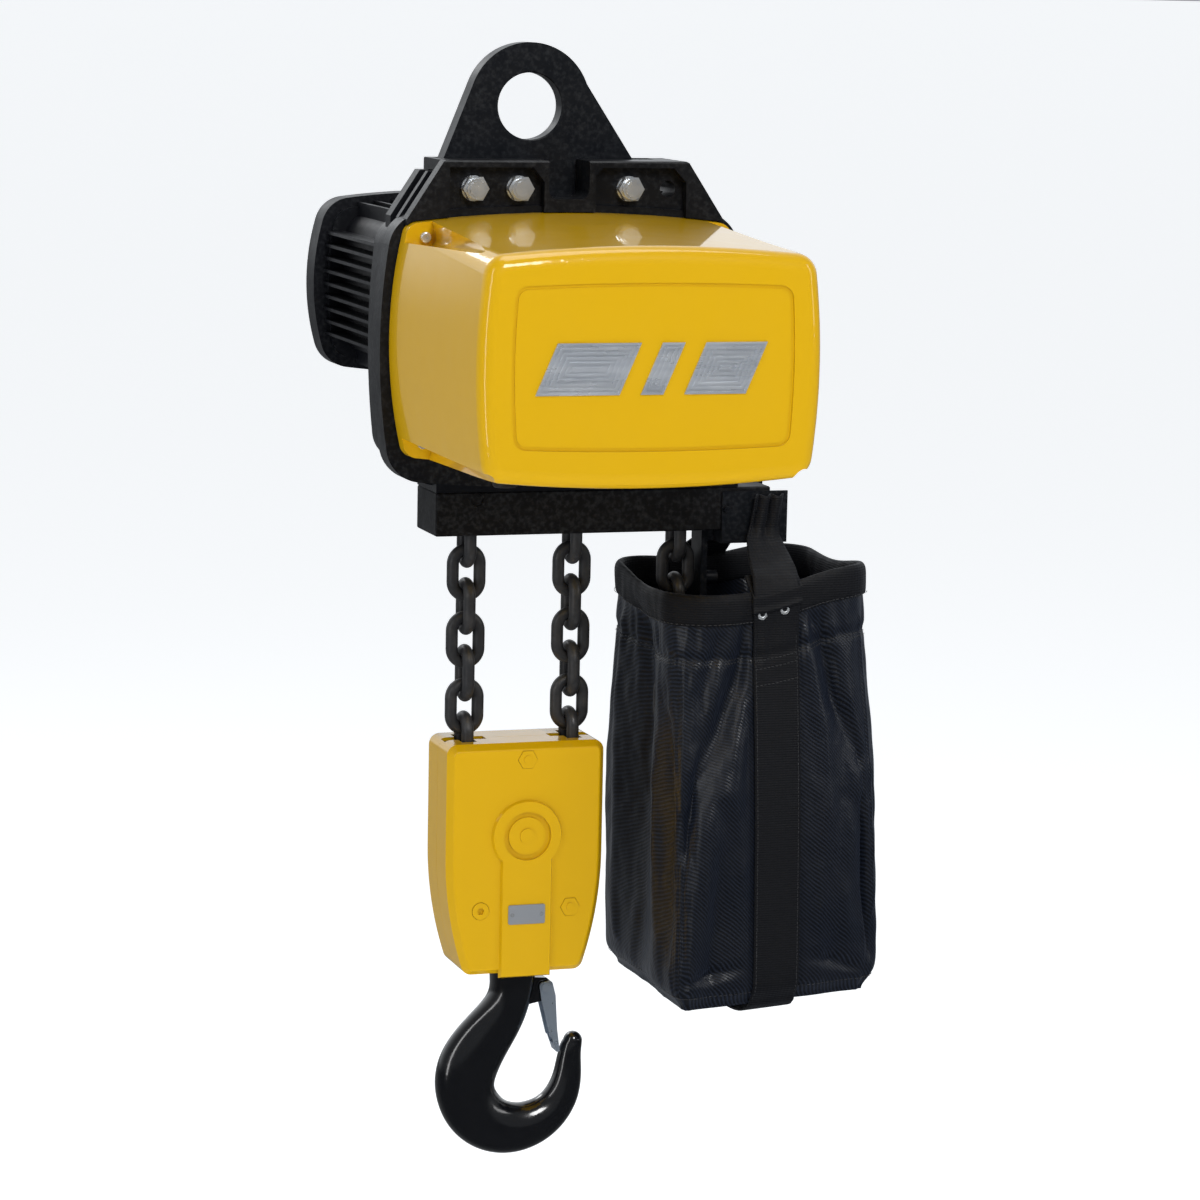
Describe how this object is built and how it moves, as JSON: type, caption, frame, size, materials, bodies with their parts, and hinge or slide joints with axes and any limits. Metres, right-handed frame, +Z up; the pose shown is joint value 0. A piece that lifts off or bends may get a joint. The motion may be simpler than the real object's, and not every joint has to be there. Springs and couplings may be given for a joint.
{
  "type": "chain hoist",
  "caption": "Electric chain hoist with a suspension eye, finned motor, geared chain wheel, two-fall hook block, swivelling latch hook and a hanging chain bag.",
  "frame": {"origin": "centre of the hole in the suspension plate, in the middle of the plate thickness", "axes": "+X right along the chain bar towards the chain bag, +Y back towards the motor, +Z up"},
  "size_m": [0.4605, 0.6937, 1.0323],
  "materials": {
    "yellow_paint": "gloss",
    "black_cast": "satin",
    "black_fins": "satin",
    "black_plate": "satin",
    "black_bar": "matte",
    "zinc_steel": "bright zinc plating",
    "zinc_sheet": "satin zinc plating",
    "milled_aluminium": "fine milled grooves",
    "plate_aluminium": "satin",
    "chain_steel": "dark satin",
    "machine_steel": "machined",
    "forged_black": "gloss",
    "lamination": "satin",
    "cast_iron": "machined",
    "coil_body": "varnished",
    "seal_rubber": "matte",
    "grey_plastic": "matte",
    "black_plastic": "matte",
    "bag_fabric": "woven nylon",
    "webbing": "ribbed webbing"
  },
  "bodies": {
    "housing": {"suspension_plate": "black_plate", "suspension_bolts": "zinc_steel", "suspension_nuts": "zinc_steel", "suspension_washers": "zinc_steel", "mid_housing": "black_cast", "front_cover": "yellow_paint", "cover_gasket": "seal_rubber", "cover_screws": "zinc_steel", "emblem_bars": "milled_aluminium", "control_plate": "machine_steel", "contactors": "grey_plastic", "transformer": "lamination", "terminal_block": "grey_plastic", "inlet_plugs": "black_plastic", "gear_housing": "black_cast", "motor_housing": "black_fins", "stator": "lamination", "brake_coil": "coil_body", "end_shield": "cast_iron", "fan_cover": "black_fins", "fan_cover_screws": "zinc_steel", "shaft_bearings": "machine_steel", "chain_bar": "black_bar", "bar_bolts": "zinc_steel", "chain_anchor_pin": "black_bar", "dead_end_chain": "chain_steel", "bag_bracket": "black_plate", "bag_pins": "black_plate", "chain_bag": "bag_fabric", "bag_straps": "webbing", "bag_rivets": "zinc_steel", "stored_chain": "chain_steel"},
    "rotor": {"motor_shaft": "machine_steel", "rotor_core": "lamination", "brake_disc": "cast_iron", "fan": "black_plastic"},
    "first_shaft": {"first_gear_shaft": "machine_steel"},
    "second_shaft": {"second_gear_shaft": "machine_steel"},
    "chain_drive": {"load_shaft": "machine_steel", "final_gear": "machine_steel", "chain_wheel": "machine_steel", "wheel_chain": "chain_steel"},
    "load_run": {"load_chain": "chain_steel"},
    "slack_run": {"slack_chain": "chain_steel"},
    "brake_plate": {"brake_armature": "machine_steel"},
    "hook_block": {"block_front_shell": "yellow_paint", "block_rear_shell": "yellow_paint", "block_bolts": "yellow_paint", "pulley_axle": "yellow_paint", "rating_plate": "plate_aluminium", "plate_rivets": "zinc_steel", "crosshead": "machine_steel", "thrust_bearing": "machine_steel"},
    "block_pulley": {"pulley": "machine_steel", "pulley_chain": "chain_steel"},
    "hook_body": {"hook": "forged_black", "hook_nut": "machine_steel", "latch_pin": "zinc_sheet"},
    "latch_body": {"latch": "zinc_sheet", "latch_spring": "zinc_sheet"}
  },
  "joints": [
    {"name": "motor_spin", "type": "hinge", "parent": "housing", "child": "rotor", "pos_m": [0.025, 0, -0.187], "axis": [0, -1, 0], "range_deg": [-8657, 10389]},
    {"name": "first_shaft_spin", "type": "hinge", "parent": "housing", "child": "first_shaft", "pos_m": [-0.02331, 0, -0.21581], "axis": [0, -1, 0], "range_deg": [-2180, 1817]},
    {"name": "second_shaft_spin", "type": "hinge", "parent": "housing", "child": "second_shaft", "pos_m": [0.02728, 0, -0.25662], "axis": [0, -1, 0], "range_deg": [-455, 546]},
    {"name": "chain_wheel_spin", "type": "hinge", "parent": "housing", "child": "chain_drive", "pos_m": [0.101, 0, -0.205], "axis": [0, -1, 0], "range_deg": [-138, 115]},
    {"name": "load_run_slide", "type": "slide", "parent": "housing", "child": "load_run", "axis": [0, 0, 1], "range_m": [-0.1, 0.12]},
    {"name": "slack_run_slide", "type": "slide", "parent": "housing", "child": "slack_run", "axis": [0, 0, 1], "range_m": [-0.12, 0.1]},
    {"name": "hook_lift", "type": "slide", "parent": "housing", "child": "hook_block", "axis": [0, 0, 1], "range_m": [-0.05, 0.06]},
    {"name": "pulley_spin", "type": "hinge", "parent": "hook_block", "child": "block_pulley", "pos_m": [0, 0, -0.664], "axis": [0, -1, 0], "range_deg": [-57, 68.5]},
    {"name": "hook_swivel", "type": "hinge", "parent": "hook_block", "child": "hook_body", "pos_m": [0, 0, -0.78], "axis": [0, 0, 1], "continuous": true},
    {"name": "latch_swing", "type": "hinge", "parent": "hook_body", "child": "latch_body", "pos_m": [0.031, 0, -0.816], "axis": [0, 1, 0], "range_deg": [0, 30], "stiffness_Nm_per_rad": 0.2, "springref_deg": -34.38},
    {"name": "brake_release", "type": "slide", "parent": "housing", "child": "brake_plate", "axis": [0, 1, 0], "range_m": [0, 0.0006], "stiffness_N_per_m": 20000, "springref_m": -0.004}
  ],
  "couplings": [
    {"joint": "first_shaft_spin", "follows": "motor_spin", "ratio": -0.20968},
    {"joint": "second_shaft_spin", "follows": "motor_spin", "ratio": 0.052419},
    {"joint": "chain_wheel_spin", "follows": "motor_spin", "ratio": -0.013105},
    {"joint": "load_run_slide", "follows": "motor_spin", "m_per_rad": 0.00066179},
    {"joint": "slack_run_slide", "follows": "motor_spin", "m_per_rad": -0.00066179},
    {"joint": "hook_lift", "follows": "motor_spin", "m_per_rad": 0.0003309},
    {"joint": "pulley_spin", "follows": "motor_spin", "ratio": 0.0065524}
  ]
}
